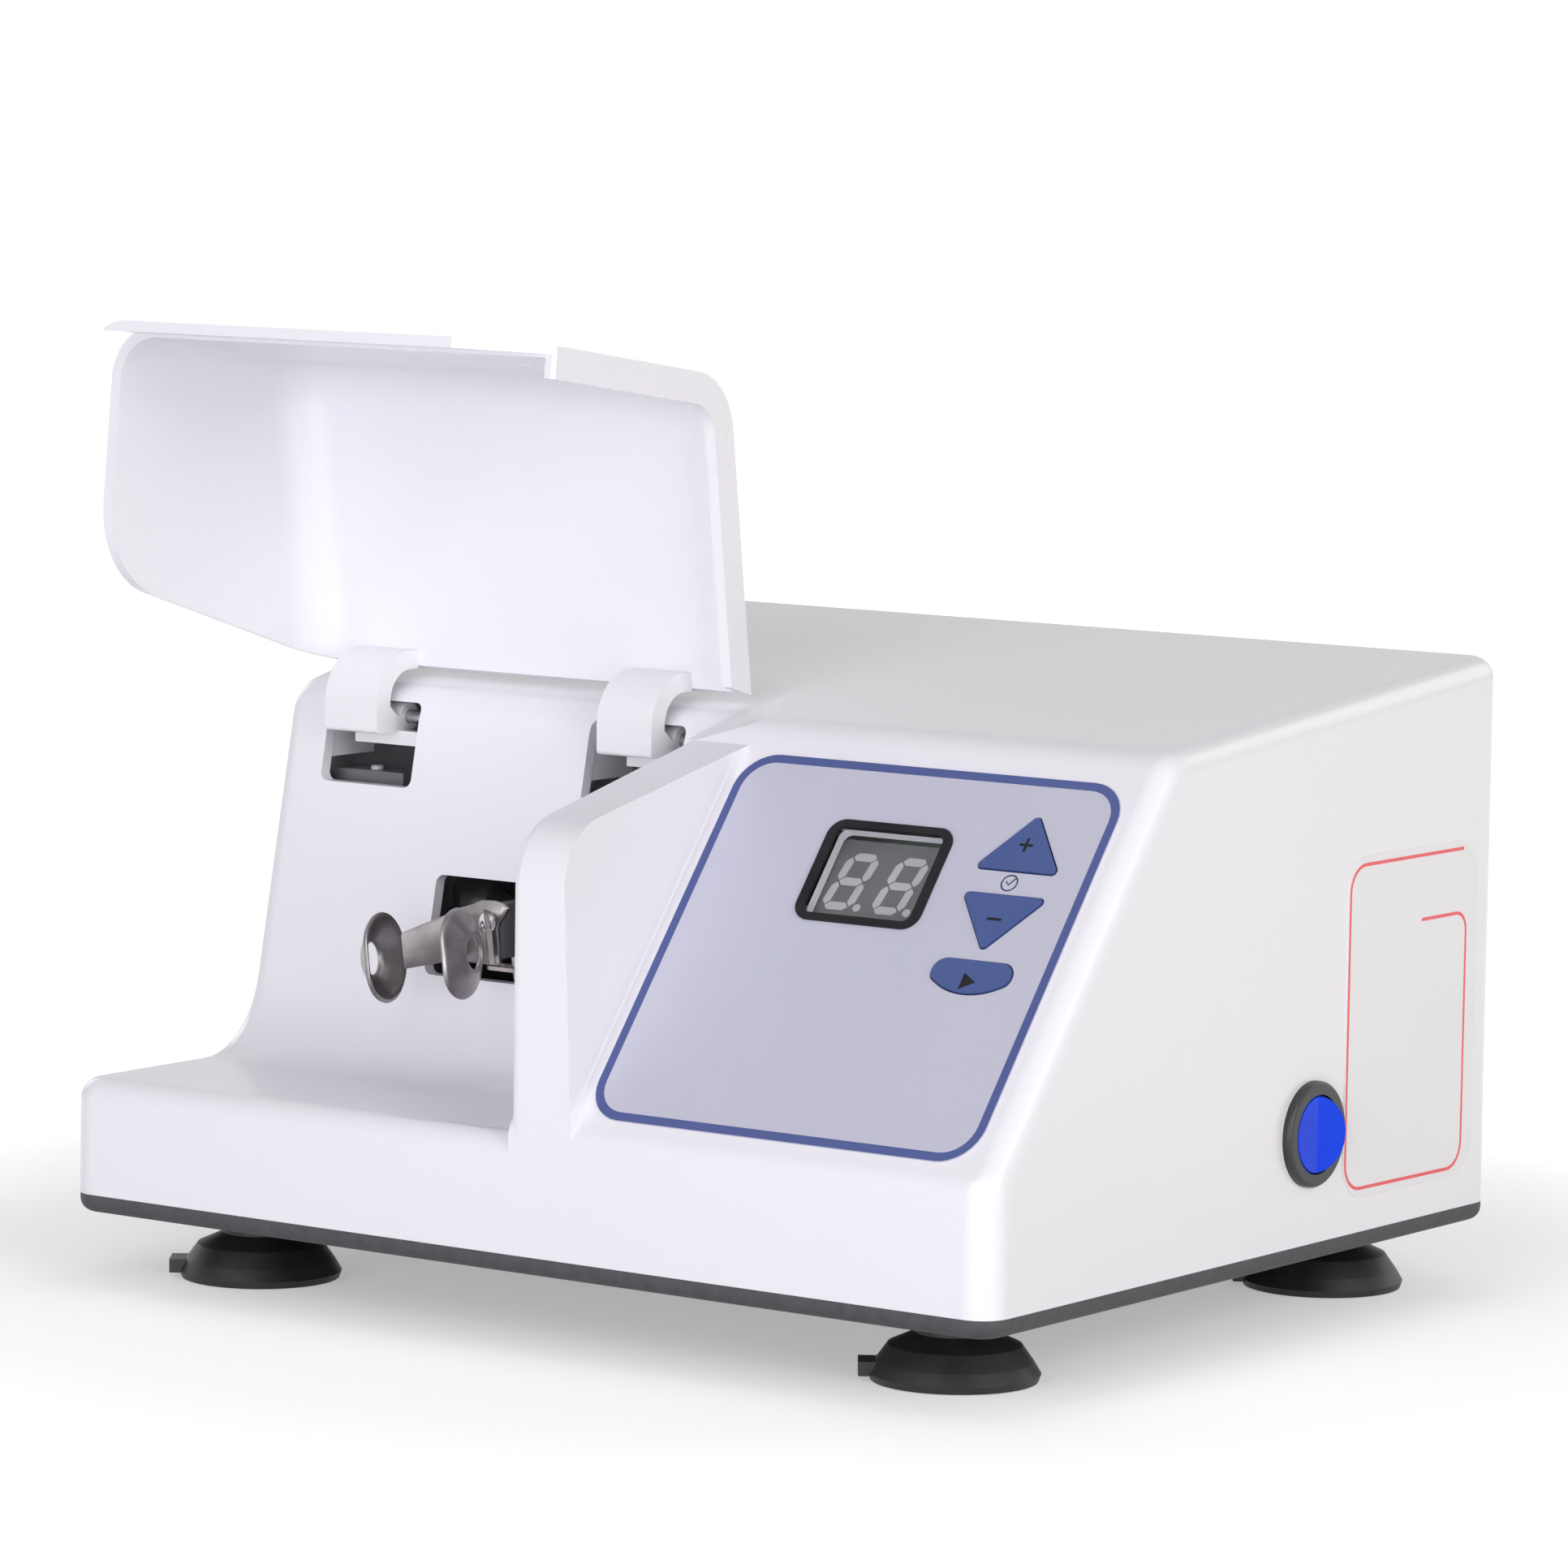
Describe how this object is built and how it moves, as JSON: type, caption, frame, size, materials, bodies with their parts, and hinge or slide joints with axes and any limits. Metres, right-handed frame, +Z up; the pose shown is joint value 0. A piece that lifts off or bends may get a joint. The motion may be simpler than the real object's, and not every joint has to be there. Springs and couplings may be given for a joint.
{
  "type": "dental amalgamator",
  "caption": "Bench-top dental capsule mixer with an open hinged cover, a nutating spring fork, a sloping key panel and a side mains switch.",
  "frame": {"origin": "bottom centre of the whole part's bounding box, on the surface the feet stand on", "axes": "+X to the console side, -Y to the front, +Z up"},
  "size_m": [0.2506, 0.207, 0.2119],
  "materials": {
    "white_gloss": "smooth glossy moulded shell, pure white",
    "black_base": "fine textured powder coat, near black",
    "rubber": "soft black rubber, slight sheen",
    "zinc_screw": "zinc plated screws, satin",
    "overlay": "pale blue-grey printed film with a dark blue border line",
    "bezel_black": "black display frame, semi-gloss",
    "window_clear": "clear pane",
    "module_grey": "dark grey display face",
    "segment_white": "unlit off-white segments",
    "key_blue": "blue printed key caps",
    "board_green": "green laminate",
    "component_black": "black moulded components",
    "nylon": "natural nylon",
    "switch_black": "black switch bezel",
    "rocker_blue": "vivid translucent blue rocker",
    "label_film": "white film with a red border line",
    "arm_white": "white moulded gooseneck",
    "steel_pin": "ground steel",
    "spring_steel": "polished spring steel, rounded by pressing",
    "aluminium": "cast and machined",
    "motor_steel": "dark painted can",
    "bracket_zinc": "zinc plated sheet",
    "core_steel": "lacquered laminations",
    "coil_tape": "amber winding tape",
    "brass": "tinned brass blades",
    "inlet_black": "black moulded mains inlet",
    "switch_grey": "dark grey switch housing",
    "plunger_grey": "light grey plunger"
  },
  "bodies": {
    "chassis": {"housing_shell": "white_gloss", "base_plate": "black_base", "base_screws": "zinc_screw", "foot_studs": "zinc_screw", "foot_front_left": "rubber", "foot_front_right": "rubber", "foot_rear_left": "rubber", "foot_rear_right": "rubber", "membrane_panel": "overlay", "display_frame": "bezel_black", "display_window": "window_clear", "display_module": "module_grey", "display_digits": "segment_white", "tact_switches": "component_black", "control_board": "board_green", "board_standoffs": "nylon", "board_screws": "zinc_screw", "switch_body": "switch_black", "switch_terminals": "brass", "side_label": "label_film", "hinge_pin_left": "steel_pin", "hinge_pin_right": "steel_pin", "lid_switch_body": "switch_grey", "arm_spring": "spring_steel", "spring_anchor": "steel_pin", "motor_body": "motor_steel", "motor_bracket": "bracket_zinc", "motor_screws": "zinc_screw", "outboard_bracket": "bracket_zinc", "outboard_bearing": "steel_pin", "chassis_screws": "zinc_screw", "transformer_core": "core_steel", "transformer_coil": "coil_tape", "transformer_clamp": "bracket_zinc", "power_inlet": "inlet_black", "inlet_pins": "brass", "inlet_screws": "zinc_screw", "fuse_holder": "inlet_black", "fuse_cap": "inlet_black"},
    "cover": {"lid_shell": "white_gloss", "hinge_arm_left": "arm_white", "hinge_arm_right": "arm_white"},
    "rotor": {"drive_shaft": "steel_pin", "skew_hub": "steel_pin", "hub_retainer": "spring_steel"},
    "arm": {"swing_arm": "aluminium", "arm_bearing": "steel_pin", "fork_clip": "spring_steel", "fork_rivet": "spring_steel"},
    "up_key": {"key_up": "key_blue"},
    "down_key": {"key_down": "key_blue"},
    "start_key": {"key_start": "key_blue"},
    "rocker": {"switch_rocker": "rocker_blue"},
    "plunger": {"lid_switch_plunger": "plunger_grey"}
  },
  "joints": [
    {"name": "cover_hinge", "type": "hinge", "parent": "chassis", "child": "cover", "pos_m": [-0.06331, -0.0233, 0.1213], "axis": [1, 0, 0], "range_deg": [0, 95.5]},
    {"name": "drive_spin", "type": "hinge", "parent": "chassis", "child": "rotor", "pos_m": [-0.05561, -0.008, 0.0775], "axis": [1, 0, 0], "continuous": true},
    {"name": "fork_nutation", "type": "hinge", "parent": "rotor", "child": "arm", "pos_m": [-0.05561, -0.008, 0.0775], "axis": [0.9914, 0, 0.1305], "continuous": true},
    {"name": "up_key_press", "type": "slide", "parent": "chassis", "child": "up_key", "axis": [0, 0.785, -0.6195], "range_m": [0, 0.0006], "stiffness_N_per_m": 800, "springref_m": -0.001},
    {"name": "down_key_press", "type": "slide", "parent": "chassis", "child": "down_key", "axis": [0, 0.785, -0.6195], "range_m": [0, 0.0006], "stiffness_N_per_m": 800, "springref_m": -0.001},
    {"name": "start_key_press", "type": "slide", "parent": "chassis", "child": "start_key", "axis": [0, 0.785, -0.6195], "range_m": [0, 0.0006], "stiffness_N_per_m": 800, "springref_m": -0.001},
    {"name": "mains_rocker", "type": "hinge", "parent": "chassis", "child": "rocker", "pos_m": [0.11969, 0.018, 0.0435], "axis": [0, 0, 1], "range_deg": [0, 20]},
    {"name": "cover_switch", "type": "slide", "parent": "chassis", "child": "plunger", "axis": [0, 0, -1], "range_m": [0, 0.0006], "stiffness_N_per_m": 300, "springref_m": -0.001}
  ],
  "couplings": [
    {"joint": "fork_nutation", "follows": "drive_spin", "ratio": -1}
  ]
}
